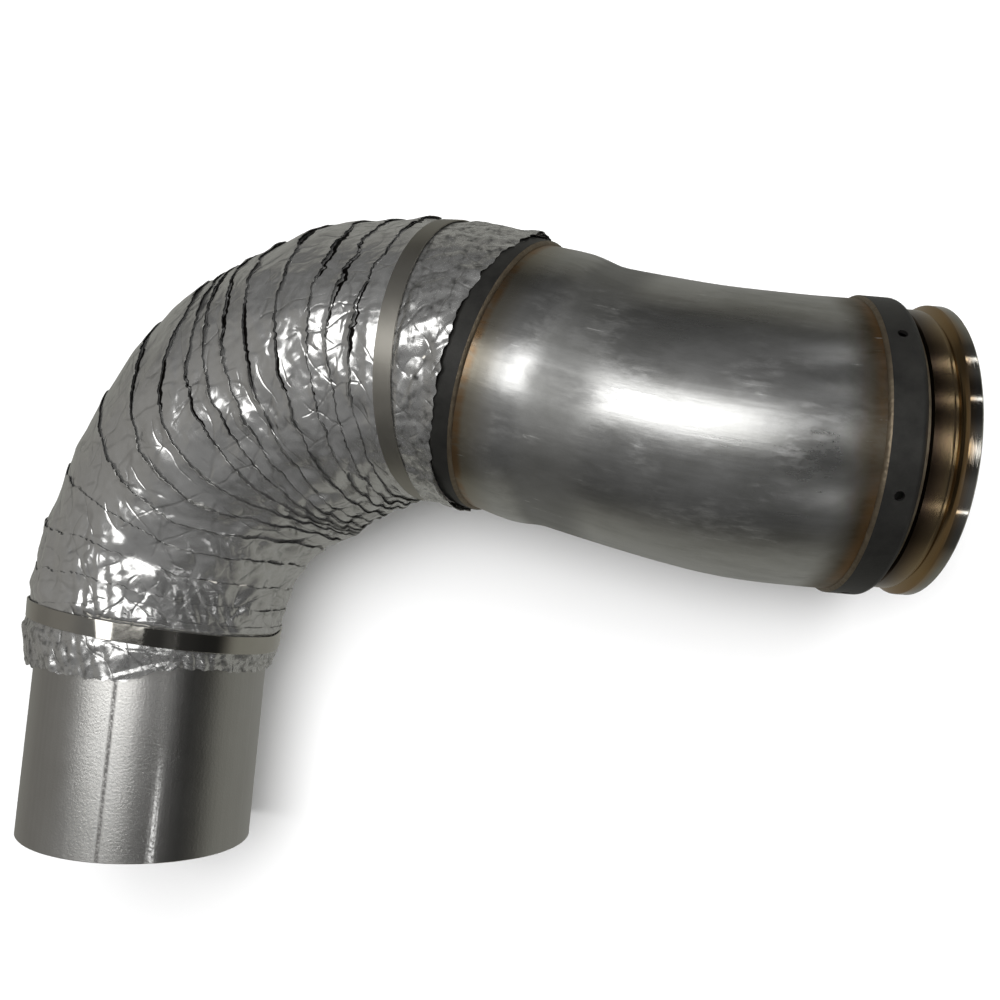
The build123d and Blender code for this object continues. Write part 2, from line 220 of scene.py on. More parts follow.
def lamp(name, aside, above, distance, width, height, watts, tilt=0.0, glossy=True):
    """Area lamp aimed at the pipe, at angles aside and above as seen from the camera.
    It stands upright in the camera's view unless tilted."""
    data = bpy.data.lights.new(name, "AREA")
    data.shape = "RECTANGLE"
    data.size, data.size_y, data.energy = width, height, watts
    made = bpy.data.objects.new(name, data)
    bpy.context.scene.collection.objects.link(made)
    aim = (CAD_BOX[0] + CAD_BOX[1]) / 2
    way = (-CAMERA_AHEAD * cos(aside) * cos(above) - CAMERA_RIGHT * sin(aside) * cos(above)
           + CAMERA_UP * sin(above))
    made.location = aim + way * distance
    across = CAMERA_UP.cross(way).normalized()
    upright = way.cross(across)
    facing = Matrix((across, upright, way)).transposed() @ Matrix.Rotation(tilt, 3, "Z")
    made.rotation_mode = "QUATERNION"
    made.rotation_quaternion = facing.to_quaternion()
    made.visible_glossy = glossy
    return made


WINDOW_RADIANCE = 2.9
SLIVER_RADIANCE = 3.4
SLIVERS = (
    (-27, 0, 0.15, 1.30, 25), (-54, 54, 0.80, 0.09, 0), (-33, 31.5, 0.80, 0.09, 0), (-30, -42, 0.80, 0.09, 0))


def radiant(radiance, width, height):
    """Power of an area lamp of a given radiance."""
    return radiance * pi * width * height


lamp("window", radians(20.5), radians(7.8), LAMP_DISTANCE, 2.85, 1.4,
     radiant(WINDOW_RADIANCE, 2.85, 1.4), radians(-10))
for index, (aside, above, width, height, tilt) in enumerate(SLIVERS):
    power = radiant(SLIVER_RADIANCE, width, height)
    lamp(f"sliver_{index}", radians(aside), radians(above), LAMP_DISTANCE, width, height, power,
         radians(tilt))
lamp("floor_wash", 0.0, radians(20), 2.2, 2.6, 2.6, 72.0, glossy=False)

ROOM_STOPS = (
    (0.0, (0.30, 0.30, 0.28)), (0.3, (0.26, 0.26, 0.235)), (0.44, (0.16, 0.155, 0.14)),
    (0.5, (0.075, 0.075, 0.07)), (0.6, (0.07, 0.07, 0.07)), (0.72, (0.13, 0.13, 0.13)),
    (0.86, (0.17, 0.17, 0.17)), (1.0, (0.18, 0.18, 0.18)))
DARK_SIDE = (0.93, -0.16, 0.30)
DARK_LENS = (0.60, 0.50, 0.62)
DARK_SILL = (0.42, -0.20, 0.88)
PALE_SIDE = (-0.95, -0.16, 0.25)
room = bpy.data.worlds.new("room")
bpy.context.scene.world = room
room.use_nodes = True
walls = Nodes(room.node_tree)
heading = walls.node("TexCoord", out="Generated")
height = walls.node("SeparateXYZ", (), {0: heading}, out="Z")
shade = walls.ramp(height * 0.5 + 0.5, *ROOM_STOPS)
shade = walls.mix(walls.toward(heading, DARK_SIDE).band(0.80, 0.96) * 0.85, shade, (0.01, 0.01, 0.01))
shade = walls.mix(walls.toward(heading, DARK_LENS).band(0.90, 0.985) * 0.85, shade, (0.01, 0.01, 0.01))
shade = walls.mix(walls.toward(heading, DARK_SILL).band(0.91, 0.98) * 0.85, shade, (0.012, 0.012, 0.012))
shade = walls.mix(walls.toward(heading, PALE_SIDE).band(0.70, 0.95) * 0.6, shade, (0.30, 0.29, 0.27))
walls.tree.links.new(shade.socket, walls.tree.nodes["Background"].inputs[0])

# Gas pipe: one bent steel tube from the elbow's joint to the bare outlet, its end sized for a slip joint.
# Satin drawn tube, with the dark line of its own long weld seam, faint draw marks in its tone, and a painted
# highlight: a broken bright streak along one side near the outlet.
INLET_DIP = radians(16.1)
INLET_ROLL = radians(142.7)
SHELL_BEND_RADIUS = 0.225
ELBOW_RADIUS = 0.158
ELBOW_ROLL = radians(124.0)
LEGS = (
    (0.058, None, 0.0),
    (SHELL_BEND_RADIUS * radians(25.5), SHELL_BEND_RADIUS, 0.0),
    (0.054, None, 0.0),
    (ELBOW_RADIUS * radians(105.0), ELBOW_RADIUS, ELBOW_ROLL),
    (0.116, None, 0.0),
)
PIPE_RADIUS = 0.0635
PIPE_WALL = 0.00165
OUTLET_END = sum(leg[0] for leg in LEGS)


def route(station):
    """Frames on the centreline at an array of stations: origin, two cross directions and the tangent.
    A straight leg carries its frame along; on a bend the frame turns about the hinge at the bend's centre."""
    station = np.asarray(station, float)
    flat = station.ravel()
    origin = np.zeros(3)
    dip, roll = INLET_DIP - pi / 2, INLET_ROLL
    about_y = np.array([[cos(dip), 0, sin(dip)], [0, 1, 0], [-sin(dip), 0, cos(dip)]])
    about_z = np.array([[cos(roll), -sin(roll), 0], [sin(roll), cos(roll), 0], [0, 0, 1]])
    axes = about_y @ about_z
    out = np.zeros((4, flat.size, 3))
    low = 0.0
    for index, (length, radius, roll) in enumerate(LEGS):
        last = index == len(LEGS) - 1
        here = (flat >= low - (1 if index == 0 else 0)) & ((flat < low + length) | last)
        travel = np.append(flat[here] - low, length)[:, None]
        x, y, ahead = axes.T
        if radius is None:
            place = origin + travel * ahead
            cross = [np.repeat(v[None], len(travel), 0) for v in (x, y, ahead)]
        else:
            turn = travel / radius
            inward = cos(roll) * x + sin(roll) * y
            side = -sin(roll) * x + cos(roll) * y
            place = origin + radius * ((1 - np.cos(turn)) * inward + np.sin(turn) * ahead)
            inward_now = np.cos(turn) * inward - np.sin(turn) * ahead
            ahead_now = np.cos(turn) * ahead + np.sin(turn) * inward
            cross = [cos(roll) * inward_now - sin(roll) * side,
                     sin(roll) * inward_now + cos(roll) * side, ahead_now]
        for row, value in enumerate([place, *cross]):
            out[row, here] = value[:-1]
        origin = place[-1]
        axes = np.array([v[-1] for v in cross]).T
        low += length
    return [v.reshape(*station.shape, 3) for v in out]


def around(name, station, angle, radius, seat=None, wrap=True, smooth=None):
    """Mesh of rows carried round the pipe. Point = O(s) + r (X(s) cos a + Y(s) sin a) for each station s,
    angle a and radius r; with a seat, the frame is that station's and the rows stand off straight
    along its tangent. The rows close into a loop, and so do the columns unless wrap is off."""
    station, angle, radius = np.broadcast_arrays(station, angle, radius)
    if seat is None:
        origin, x, y, ahead = route(station)
    else:
        origin, x, y, ahead = route(np.full(station.shape, seat))
        origin = origin + (station - seat)[..., None] * ahead
    spoke = x * np.cos(angle)[..., None] + y * np.sin(angle)[..., None]
    points = origin + radius[..., None] * spoke
    rows, columns = station.shape
    index = np.arange(rows * columns).reshape(rows, columns)
    above = np.roll(index, -1, 0)
    quads = np.stack([index, np.roll(index, -1, 1), np.roll(above, -1, 1), above], -1)
    quads = (quads if wrap else quads[:, :-1]).reshape(-1, 4)
    mesh = bpy.data.meshes.new(name)
    mesh.from_pydata(points.reshape(-1, 3), [], quads)
    lay = mesh.attributes.new("lay", "FLOAT_VECTOR", "POINT")
    straight = np.stack([station, radius * np.cos(angle), radius * np.sin(angle)], -1)
    lay.data.foreach_set("vector", straight.astype(np.float32).ravel())
    mesh.polygons.foreach_set("use_smooth", np.ones(len(mesh.polygons), bool))
    if smooth is not None:
        mesh.set_sharp_from_angle(angle=smooth)
    made = bpy.data.objects.new(name, mesh)
    bpy.context.scene.collection.objects.link(made)
    return made


def outline(corners, step):
    """Half section walked from corner to corner, each side cut into equal steps no longer than step."""
    stations, radii = [], []
    for (s0, r0), (s1, r1) in zip(corners, [*corners[1:], corners[0]]):
        count = max(1, round(float(np.hypot(s1 - s0, r1 - r0)) / step))
        share = np.arange(count) / count
        stations.append(s0 + (s1 - s0) * share)
        radii.append(r0 + (r1 - r0) * share)
    return np.concatenate(stations)[:, None], np.concatenate(radii)[:, None]


def full_turn(columns):
    return (np.arange(columns) / columns * 2 * pi)[None]


PIPE_JOINT = 0.18694
SLIP_START = 0.51969
SLIP_TAPER = 0.0035
SLIP_SIZING = 0.00015
SEAM_ANGLE = radians(191)
PAINTED_STREAK_ANGLE = radians(167.5)
bore = PIPE_RADIUS - PIPE_WALL
station, radius = outline([
    (PIPE_JOINT, bore), (PIPE_JOINT, PIPE_RADIUS), (SLIP_START - SLIP_TAPER, PIPE_RADIUS),
    (SLIP_START, PIPE_RADIUS - SLIP_SIZING), (OUTLET_END - 0.0004, PIPE_RADIUS - SLIP_SIZING),
    (OUTLET_END, PIPE_RADIUS - SLIP_SIZING - 0.0004), (OUTLET_END, bore - SLIP_SIZING + 0.0003),
    (OUTLET_END - 0.0003, bore - SLIP_SIZING), (SLIP_START, bore)], 0.004)
elbow_pipe = around("gas_pipe_outlet", station, full_turn(240), radius, smooth=radians(40))
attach(elbow_pipe, "root")
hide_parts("elbow_pipe")

tube = Finish("satin_tube_steel")
lay = tube.lay()
along = tube.node("SeparateXYZ", (), {0: lay})
blotch = tube.noise(lay, 22.0, 4.0, 0.6)
drawn = tube.noise(tube.stretch(lay, 6.0, 260.0, 260.0), 1.0, 4.0, 0.6)
marks = tube.noise(tube.stretch(lay, 2.5, 700.0, 700.0), 1.0, 3.0, 0.5)
grain = tube.noise(lay, 760.0, 3.0, 0.7)
off_seam = tube.toward(lay, (0.0, -sin(SEAM_ANGLE), cos(SEAM_ANGLE)))
seam_and_painted_shadow = (off_seam + 0.0012 * drawn - 0.0006).math("ABSOLUTE").band(0.0020, 0.0003) * grain.band(0.25, 0.60)
seam_and_painted_shadow = seam_and_painted_shadow * (tube.toward(lay, (0.0, cos(SEAM_ANGLE), sin(SEAM_ANGLE))) > 0.0)
steel = tube.mix(blotch * 0.7 + marks * 0.3, (0.44, 0.43, 0.405), (0.66, 0.655, 0.64))
# Painted highlight: a broken bright streak along one side near the outlet, paler and less metallic than the
# steel round it.
off_painted_streak = tube.toward(lay, (0.0, -sin(PAINTED_STREAK_ANGLE), cos(PAINTED_STREAK_ANGLE))) + 0.0012 * tube.noise(lay, 12.0, 2.0)
painted_streak = off_painted_streak.math("ABSOLUTE").band(0.0034, 0.0006) * marks.band(0.25, 0.55) * grain.band(0.30, 0.62)
painted_streak = painted_streak * (tube.toward(lay, (0.0, cos(PAINTED_STREAK_ANGLE), sin(PAINTED_STREAK_ANGLE))) > 0.0) * along.band(0.545, 0.600) * 0.9
steel = tube.mix(painted_streak, steel, (0.86, 0.86, 0.84))
tube.feed("Base Color", tube.mix(seam_and_painted_shadow * 0.85, steel, (0.14, 0.135, 0.13)))
tube.feed("Metallic", 1.0 - 0.75 * painted_streak)
tube.feed("Roughness", 0.20 + 0.14 * blotch + 0.08 * drawn + 0.2 * seam_and_painted_shadow)
height = drawn * 0.5 + grain * 2.4 + marks * 0.35 - seam_and_painted_shadow * 0.6
tube.feed("Normal", tube.bump(height, 0.00012, 0.4))
elbow_pipe.data.materials.append(tube.material)
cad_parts["inlet_pipe"].data.materials.clear()
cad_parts["inlet_pipe"].data.materials.append(tube.material)

# Clamp flange: a turned steel ring welded on the inlet, with a polished rim that a band clamp grips and a
# tapered groove behind it. Bright tool-turned faces, browned by heat on the hub.
BORE = 0.06185
HUB_RADIUS = 0.0664
RIM_RADIUS = 0.0690
SOCKET_RADIUS = 0.0636
GROOVE_FLOOR = 0.0651
FLANGE_LENGTH = 0.0205
station, radius = outline([
    (0.0, BORE + 0.0003), (0.0, RIM_RADIUS - 0.0008), (0.0008, RIM_RADIUS), (0.0058, RIM_RADIUS),
    (0.0060, RIM_RADIUS - 0.0002), (0.0088, GROOVE_FLOOR), (0.00985, GROOVE_FLOOR), (0.0105, HUB_RADIUS),
    (0.0108, HUB_RADIUS + 0.0001), (0.0195, HUB_RADIUS), (FLANGE_LENGTH, HUB_RADIUS - 0.001),
    (FLANGE_LENGTH, SOCKET_RADIUS), (0.003, SOCKET_RADIUS), (0.003, BORE), (0.0003, BORE)], 0.0009)
flange = around("clamp_flange", station, full_turn(300), radius, seat=0.0, smooth=radians(25))
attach(flange, "root")
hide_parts("inlet_flange")

turned = Finish("turned_steel", Metallic=1.0)
lay = turned.lay()
along = turned.node("SeparateXYZ", (), {0: lay})
grooves = turned.noise(turned.stretch(lay, 2600.0, 14.0, 14.0), 1.0, 2.0, 0.5)
blotch = turned.noise(lay, 60.0, 4.0, 0.6)
tint = turned.ramp(
    along + 0.0025 * blotch,
    (0.0, (0.60, 0.58, 0.53)), (0.0010, (0.36, 0.35, 0.32)), (0.0056, (0.36, 0.34, 0.30)),
    (0.0062, (0.56, 0.47, 0.32)), (0.0078, (0.34, 0.22, 0.10)), (0.0108, (0.40, 0.30, 0.17)),
    (0.0145, (0.27, 0.195, 0.115)), (0.0180, (0.10, 0.07, 0.045)), (0.023, (0.05, 0.035, 0.025)))
turned.feed("Base Color", tint)
turned.feed("Roughness", 0.05 + 0.06 * blotch + 0.13 * along.band(0.0060, 0.0100))
turned.feed("Normal", turned.bump(grooves, 0.00005, 0.35))
flange.data.materials.append(turned.material)

# Heat-shield shell: a satin stainless tube around the shallow bend, necked in at its waist. Blotched and
# finely scratched by handling, browned by welding heat beside both collars.
SHELL_START = 0.0350
SHELL_END = 0.20444
SHELL_RADIUS = 0.0692
SHELL_WALL = 0.0015
WAIST = 0.15520
WAIST_START = 0.0632
FLARE_START = 0.1585
FLARE_END = 0.1800
WAIST_DRAW = 0.0024
HUMP_RISE = 0.0004
WAIST_LEAN = 0.0008
WAIST_LEAN_ANGLE = radians(290)


def ease(share):
    return (1 - np.cos(pi * np.clip(share, 0, 1))) / 2


def shell_outside(station, angle):
    """Outside radius: full size less an eased draw, with a low hump where the skin flares out again, plus the
    skin's lean to one side, which grows and fades along the drawn stretch."""
    rise = ease((station - WAIST_START) / (WAIST - WAIST_START))
    fall = ease((FLARE_END - station) / (FLARE_END - FLARE_START))
    hump = HUMP_RISE * ease((station - FLARE_START) / 0.02) * ease((SHELL_END - 0.006 - station) / 0.015)
    share = np.clip((station - WAIST_START) / (FLARE_END - WAIST_START), 0, 1)
    lean = WAIST_LEAN * np.sin(pi * share**1.4) ** 2
    return SHELL_RADIUS - WAIST_DRAW * np.minimum(rise, fall) + hump + lean * np.cos(angle - WAIST_LEAN_ANGLE)


outer_rows = np.linspace(SHELL_START, SHELL_END, 110)
station = np.concatenate([outer_rows, outer_rows[::-3]])[:, None]
wall = np.concatenate([0 * outer_rows, 0 * outer_rows[::-3] + SHELL_WALL])[:, None]
angle = full_turn(300)
radius = shell_outside(station, angle) - wall
hammer = 0.00010 * np.sin(3 * angle + 40 * station) * np.sin(5 * angle - 90 * station + 1.0)
shell = around("heat_shield_shell", station, angle, radius + hammer, smooth=radians(60))
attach(shell, "root")
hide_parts("outer_shell")

shield = Finish("blotched_stainless", Metallic=1.0)
lay = shield.lay()
along = shield.node("SeparateXYZ", (), {0: lay})
cloud = shield.noise(lay, 14.0, 6.0, 0.62, 0.4)
smear = shield.noise(shield.stretch(lay, 22.0, 70.0, 70.0), 1.0, 6.0, 0.68, 0.5)
drawn = shield.noise(shield.stretch(lay, 9.0, 420.0, 420.0), 1.0, 4.0, 0.6)
hoop = shield.noise(shield.stretch(lay, 520.0, 16.0, 16.0), 1.0, 3.0, 0.55)
scuff = shield.noise(shield.stretch(lay, 120.0, 260.0, 260.0), 1.0, 5.0, 0.7, 0.15)
rubbed = shield.noise(lay, 30.0, 3.0, 0.6).band(0.46, 0.62) * scuff.band(0.42, 0.64)
nick = shield.noise(shield.stretch(lay, 50.0, 520.0, 520.0), 1.0, 2.0, 0.5).band(0.66, 0.72) * rubbed
near_inlet = 1.0 - (along + 0.010 * cloud).band(0.048, 0.064)
near_neck = (along + 0.008 * smear).band(0.182, 0.2015)
ring_inlet = (1.0 - (along + 0.005 * smear).band(0.0430, 0.0500)) * cloud.band(0.36, 0.62)
ring_neck = (along + 0.002 * smear).band(0.1950, 0.1985) * smear.band(0.3, 0.6)
dull = (along + 0.016 * cloud).band(0.142, 0.158) * (1.0 - (along + 0.006 * smear).band(0.166, 0.176))
orange = shield.node("Math", {"operation": "MAXIMUM"}, {0: ring_inlet, 1: ring_neck})
steel = shield.mix((smear * 0.5 + cloud * 0.5).band(0.34, 0.64), (0.40, 0.40, 0.385), (0.61, 0.61, 0.60))
steel = shield.mix(rubbed * 0.5, steel, (0.72, 0.72, 0.71))
tinted = shield.mix(near_neck * (0.55 + 0.6 * cloud), steel, (0.30, 0.265, 0.195))
tinted = shield.mix(dull * 0.45, tinted, (0.26, 0.26, 0.25))
tinted = shield.mix(near_inlet * (0.55 + 0.8 * smear), tinted, (0.15, 0.12, 0.078))
tinted = shield.mix(orange * 0.8, tinted, (0.30, 0.165, 0.065))
tinted = shield.mix(nick, tinted, (0.80, 0.80, 0.78))
shield.feed("Base Color", tinted)
rough = 0.16 + 0.20 * cloud + 0.08 * drawn + 0.12 * rubbed + 0.24 * dull + 0.12 * near_inlet
shield.feed("Roughness", rough)
height = smear * 0.55 + drawn * 0.25 + hoop * 0.12 + scuff * 0.2 + nick * 0.2
shield.feed("Normal", shield.bump(height, 0.00034, 0.42))
shell.data.materials.append(shield.material)

# Closing collars: two pressed steel rings, scaled nearly black, that close the shell's ends onto the gas
# pipe. The one at the inlet has a ring of drilled vents.
scale_black = Finish("black_scale", Metallic=0.6)
place = scale_black.place()
blotch = scale_black.noise(place, 90.0, 5.0, 0.65)
grit = scale_black.noise(place, 900.0, 3.0, 0.6)
scale_black.feed("Base Color", scale_black.mix(blotch, (0.010, 0.010, 0.010), (0.045, 0.044, 0.040)))
scale_black.feed("Roughness", 0.34 + 0.25 * blotch)
scale_black.feed("Normal", scale_black.bump(grit * 0.5 + blotch * 0.5, 0.0003, 0.4))
for node in ("inlet_collar", "neck_collar"):
    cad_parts[node].data.materials.clear()
    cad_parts[node].data.materials.append(scale_black.material)

# Weld beads: rippled runs that join both collars to the shell, and the flange and the neck collar to the
# gas pipe. Dull grey with a brown flush.
bead = Finish("weld_bead", Metallic=0.9)
lay = bead.place()
blotch = bead.noise(lay, 160.0, 4.0, 0.6)
ripple = bead.noise(lay, 520.0, 2.0, 0.4)
bead.feed("Base Color", bead.mix(blotch, (0.10, 0.075, 0.05), (0.30, 0.25, 0.18)))
bead.feed("Roughness", 0.34 + 0.2 * blotch)
bead.feed("Normal", bead.bump(ripple, 0.0006, 0.6))
for node in ("flange_weld", "inlet_shell_weld", "neck_shell_weld", "neck_pipe_weld"):
    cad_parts[node].data.materials.clear()
    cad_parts[node].data.materials.append(bead.material)

# Insulation mats: wound layers of white mineral fibre, one inside the shell and one under the foil.
# Each is held by what closes round it: the shell and its collars, or the foil and its straps.
fibre = Finish("mineral_fibre", Roughness=0.95)
place = fibre.place()
tangle = fibre.noise(fibre.stretch(place, 1.0, 1.0, 2.2), 420.0, 6.0, 0.7, 1.2)
fibre.feed("Base Color", fibre.mix(tangle, (0.55, 0.51, 0.44), (0.86, 0.84, 0.79)))
fibre.feed("Normal", fibre.bump(tangle, 0.0008, 0.8))
for node in ("shell_mat", "elbow_mat"):
    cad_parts[node].data.materials.clear()
    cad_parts[node].data.materials.append(fibre.material)

# Foil wrap: strips of thin aluminium foil wound over the mat, each turn's torn free edge lying over the
# turn before it. Pinched and folded at the inside of the bend, crumpled at both ends under the straps.
FOIL_START = 0.2087
UPPER_STRAP = 0.24114
LOWER_STRAP = 0.49859
FOIL_END = 0.51584
NECK_RADIUS = 0.0727
CROWN_RADIUS = 0.0773
TAIL_RADIUS = 0.0694
CROWN_START = 0.298
CROWN_END = 0.340
TAIL_START = 0.464
INSIDE_OF_BEND = radians(124)
TURN_EDGES = (0.2430, 0.2430, 0.2600, 0.2715, 0.2820, 0.2990, 0.3170, 0.3300, 0.3430, 0.3560, 0.3770, 0.3970,
              0.4160, 0.4330, 0.4520, 0.4700, 0.4860, 0.4990, 0.4990)
EDGE_ANGLE = radians(215)
STRAP_SKEW = 0.0048
STRAP_SKEW_ANGLE = radians(193)
TUCK = 0.005
FOIL_GAUGE = 0.0003
CREASE_RADIUS = 0.075
BROAD_PITCH = 0.024
MIDDLE_PITCH = 0.011
FINE_PITCH = 0.0048
FOLD_REACH = radians(75)
FOLDS_START = 0.25
FOLDS_END = 0.46
FOLDS_FADE = 0.03
CUFF_END = 0.236
CUFF_FADE = 0.012
HEM_START = 0.438
HEM_FADE = 0.034
DIP_START = 0.0003
DIP_DEPTH = 0.0006
BELLY_PLACE = 0.345
BELLY_LENGTH = 0.032
BELLY_WIDTH = 0.6
BELLY_HEIGHT = 0.0045
PUFF_PLACE = 0.009
PUFF_LENGTH = 0.004
PUFF_HEIGHT = 0.0006
STRAP_CLEAR = 0.0045
LOOSE_END = 0.405
LOOSE_FADE = 0.03
LIFT_REACH = 0.0025
GAPING_ANGLE = radians(270)
GAPING_REACH = 1.9
GAPING_FADE = 1.2
VIEWED_ANGLE = radians(215)
VIEWED_REACH = radians(72)
VIEWED_FADE = radians(14)


def wrapped_radius(station):
    """Outside of the foil where it lies flat: eased from the neck up to the crown and down to the tail."""
    neck = UPPER_STRAP + 0.00575
    rise = NECK_RADIUS + (CROWN_RADIUS - NECK_RADIUS) * ease((station - neck) / (CROWN_START - neck))
    fall = ease((station - CROWN_END) / (TAIL_START - CROWN_END))
    fall = CROWN_RADIUS + (TAIL_RADIUS - CROWN_RADIUS) * fall
    return np.where(station < CROWN_START, rise, fall)


def apart(angle, middle):
    """How far an angle lies from a middle one, 0 to pi."""
    return np.abs((angle - middle + pi) % (2 * pi) - pi)


def lower_line(angle):
    """Station of the lower strap's middle: askew over its front half, square over the back where its
    clip holds."""
    front = ease((radians(118) - apart(angle, STRAP_SKEW_ANGLE)) / radians(42))
    return LOWER_STRAP - STRAP_SKEW * np.sin(angle - STRAP_SKEW_ANGLE) * front


def creases(points, pitch, ways, seed):
    """Flat facets between long straight creases: a sum over several ways of a piecewise-linear random
    profile of the distance along that way. Close to -1..1."""
    chance = np.random.default_rng(seed)
    total = np.zeros(points.shape[:-1])
    for way in chance.normal(size=(ways, 3)):
        way = way / np.linalg.norm(way)
        knots = np.cumsum(chance.uniform(0.4, 1.7, round(1.4 / pitch)) * pitch) - 0.7
        total += np.interp(points @ way, knots, chance.uniform(-1, 1, knots.size))
    return total / ways**0.5


def crumple(station, angle):
    """Height of the foil's creases over its flat lie, as a field that every layer shares.
    Broad and fine facets, swelling to pinched folds inside the bend, with puckers at the straps and
    flat under them."""
    origin, x, y, ahead = route(station)
    points = origin + CREASE_RADIUS * (x * np.cos(angle)[..., None] + y * np.sin(angle)[..., None])
    inner = 1 - ease(apart(angle, INSIDE_OF_BEND) / FOLD_REACH)
    bend = ease((station - FOLDS_START) / FOLDS_FADE) * (1 - ease((station - FOLDS_END) / FOLDS_FADE))
    cuff = 1 - ease((station - CUFF_END) / CUFF_FADE)
    hem = ease((station - HEM_START) / HEM_FADE)
    bowed = points + 0.004 * np.sin(31 * points[..., [1, 2, 0]] + [0.5, 1.7, 3.1])
    swirl = np.sin(83 * points[..., 0] + 2 * np.sin(57 * points[..., 1]))
    patchy = 0.5 + 0.5 * swirl * np.sin(71 * points[..., 1])
    broad = creases(bowed, BROAD_PITCH, 5, 3)
    middle = creases(bowed, MIDDLE_PITCH, 6, 8)
    fine = creases(bowed, FINE_PITCH, 6, 13)
    pleat = np.abs(np.sin(13 * angle + 60 * station + 1.5 * np.sin(90 * station)))
    pucker = np.abs(np.sin(21 * angle + 1.6 * np.sin(7 * angle) + 120 * station))
    height = 0.0010 * (1 - 0.7 * hem) * broad
    height = height + (
        0.0006 + 0.0010 * patchy + 0.0009 * inner * bend + 0.0006 * cuff + 0.0002 * hem) * middle
    height = height + (
        0.00022 + 0.0005 * patchy**2 + 0.0003 * inner * bend + 0.0004 * cuff + 0.0005 * hem) * fine
    height = height + 0.0020 * inner * bend * (pleat - 0.5) + 0.0007 * hem * (pucker - 0.5)
    dip = np.minimum(height + DIP_START, 0.0)
    height = np.maximum(height, -DIP_START) - DIP_DEPTH * (1 - np.exp(dip / DIP_DEPTH))
    belly_along = np.exp(-((station - BELLY_PLACE) / BELLY_LENGTH) ** 2)
    belly = belly_along * np.exp(-((apart(angle, INSIDE_OF_BEND) / BELLY_WIDTH) ** 2))
    height = height + BELLY_HEIGHT * belly
    clear = np.minimum(np.abs(station - UPPER_STRAP), np.abs(station - lower_line(angle)))
    puff = np.exp(-(((clear - PUFF_PLACE) / PUFF_LENGTH) ** 2))
    return (height + PUFF_HEIGHT * puff) * ease((clear - STRAP_CLEAR) / 0.005)


def torn(turn, size):
    """Ragged line of a torn edge along the wound length: slow waves, then nicks and burrs."""
    slow = 0.9 * np.sin(16.3 * turn + 2.0 * np.sin(5.1 * turn)) * np.sin(3.7 * turn)
    nick = 0.6 * np.abs(np.sin(29.3 * turn + 1.7 * np.sin(11.0 * turn))) - 0.3
    burr = 0.35 * np.sin(71.0 * turn + 3 * np.sin(17 * turn)) + 0.22 * np.sin(163.0 * turn)
    return size * (slow + nick + burr)


def free_edge(turn):
    """Station of the wound strip's free edge: its place in view, drawn back inside the bend and over its
    crown, where the winding slants."""
    angle = EDGE_ANGLE - turn
    base = np.interp(turn / (2 * pi), np.arange(len(TURN_EDGES)), TURN_EDGES)
    inner = 1 - ease(apart(angle, INSIDE_OF_BEND) / radians(61))
    outer = ease((radians(104) - apart(angle, INSIDE_OF_BEND + pi)) / radians(60))
    back = 0.044 * np.exp(-(((base - 0.398) / 0.046) ** 2)) * inner
    slant = 0.006 + 0.027 * np.exp(-(((base - 0.378) / 0.032) ** 2)) - 0.016 * ease((base - 0.405) / 0.04)
    fade = ease((base - TURN_EDGES[0] - 0.003) / 0.012) * ease((TURN_EDGES[-1] - 0.004 - base) / 0.012)
    moved = base - fade * (back + slant * outer - torn(turn, 0.001))
    return np.clip(moved, TURN_EDGES[0], TURN_EDGES[-1])


def foil_strip(name, first_turn, last_turn, columns, rows):
    """Helical ribbon. For wound angle t and share w across, s runs from this turn's free edge to a tuck
    under the next one, and r = lie + tilt from over to under + creases; a second skin closes it below.
    A painted shadow lies before the next turn's edge: a thin line, and wide patches where turns gape."""
    turn = np.linspace(first_turn, last_turn, round((last_turn - first_turn) * columns) + 1)[None] * 2 * pi
    share = np.concatenate([np.linspace(0, 1, rows) ** 1.15, np.linspace(1, 0, 4)])[:, None]
    gauge = np.concatenate([np.zeros(rows), np.full(4, FOIL_GAUGE)])[:, None] * np.ones_like(turn)
    gauge[:, [0, -1]] = 0.0
    edge = free_edge(turn)
    cover = free_edge(turn + 2 * pi)
    end = np.minimum(cover + TUCK, TURN_EDGES[-1])
    station = edge + (end - edge) * share
    angle = EDGE_ANGLE - turn + 0 * share
    tilt = 0.00065 - 0.0010 * share
    lifted = np.clip(1 - (station - edge) / LIFT_REACH, 0, 1) * (edge > TURN_EDGES[0] + 0.004)
    loose = 1 - ease((edge - LOOSE_END) / LOOSE_FADE)
    waves = 0.0010 * np.sin(7.3 * turn + 1.2) ** 2 * np.sin(2.1 * turn) ** 2
    curl = lifted * (0.0001 + loose * (0.0002 + waves))
    lie = wrapped_radius(station) - 0.0002
    radius = lie + tilt + curl + crumple(station, angle) - gauge
    ribbon = around(name, station, angle, radius, wrap=False, smooth=radians(50))
    gaping = ease((apart(angle, GAPING_ANGLE) - GAPING_REACH) / -GAPING_FADE)
    gaping = gaping * ease((LOOSE_END - cover) / LOOSE_FADE)
    gaping = gaping * ease((VIEWED_REACH - apart(angle, VIEWED_ANGLE)) / VIEWED_FADE)
    painted_shadow_width = 0.0003 + 0.0004 * np.sin(9.1 * turn) ** 2 + 0.0019 * gaping * np.sin(2.63 * turn + 0.8) ** 4
    shadow = painted_shadow_width - np.maximum(cover - station, 0) - 0.01 * (station > cover)
    ribbon.data.attributes.new("shadow", "FLOAT", "POINT").data.foreach_set(
        "value", shadow.astype(np.float32).ravel())
    return ribbon


turns = len(TURN_EDGES) - 2
foil_pieces = [
    foil_strip("foil_turns_upper", 0, turns / 2, 400, 20),
    foil_strip("foil_turns_lower", turns / 2, turns, 400, 20),
]

# Cuff and skirt: the foil's two ends, drawn over the neck collar and left ragged below the lower strap.
# The same thin aluminium foil as the winding, held by the two straps.


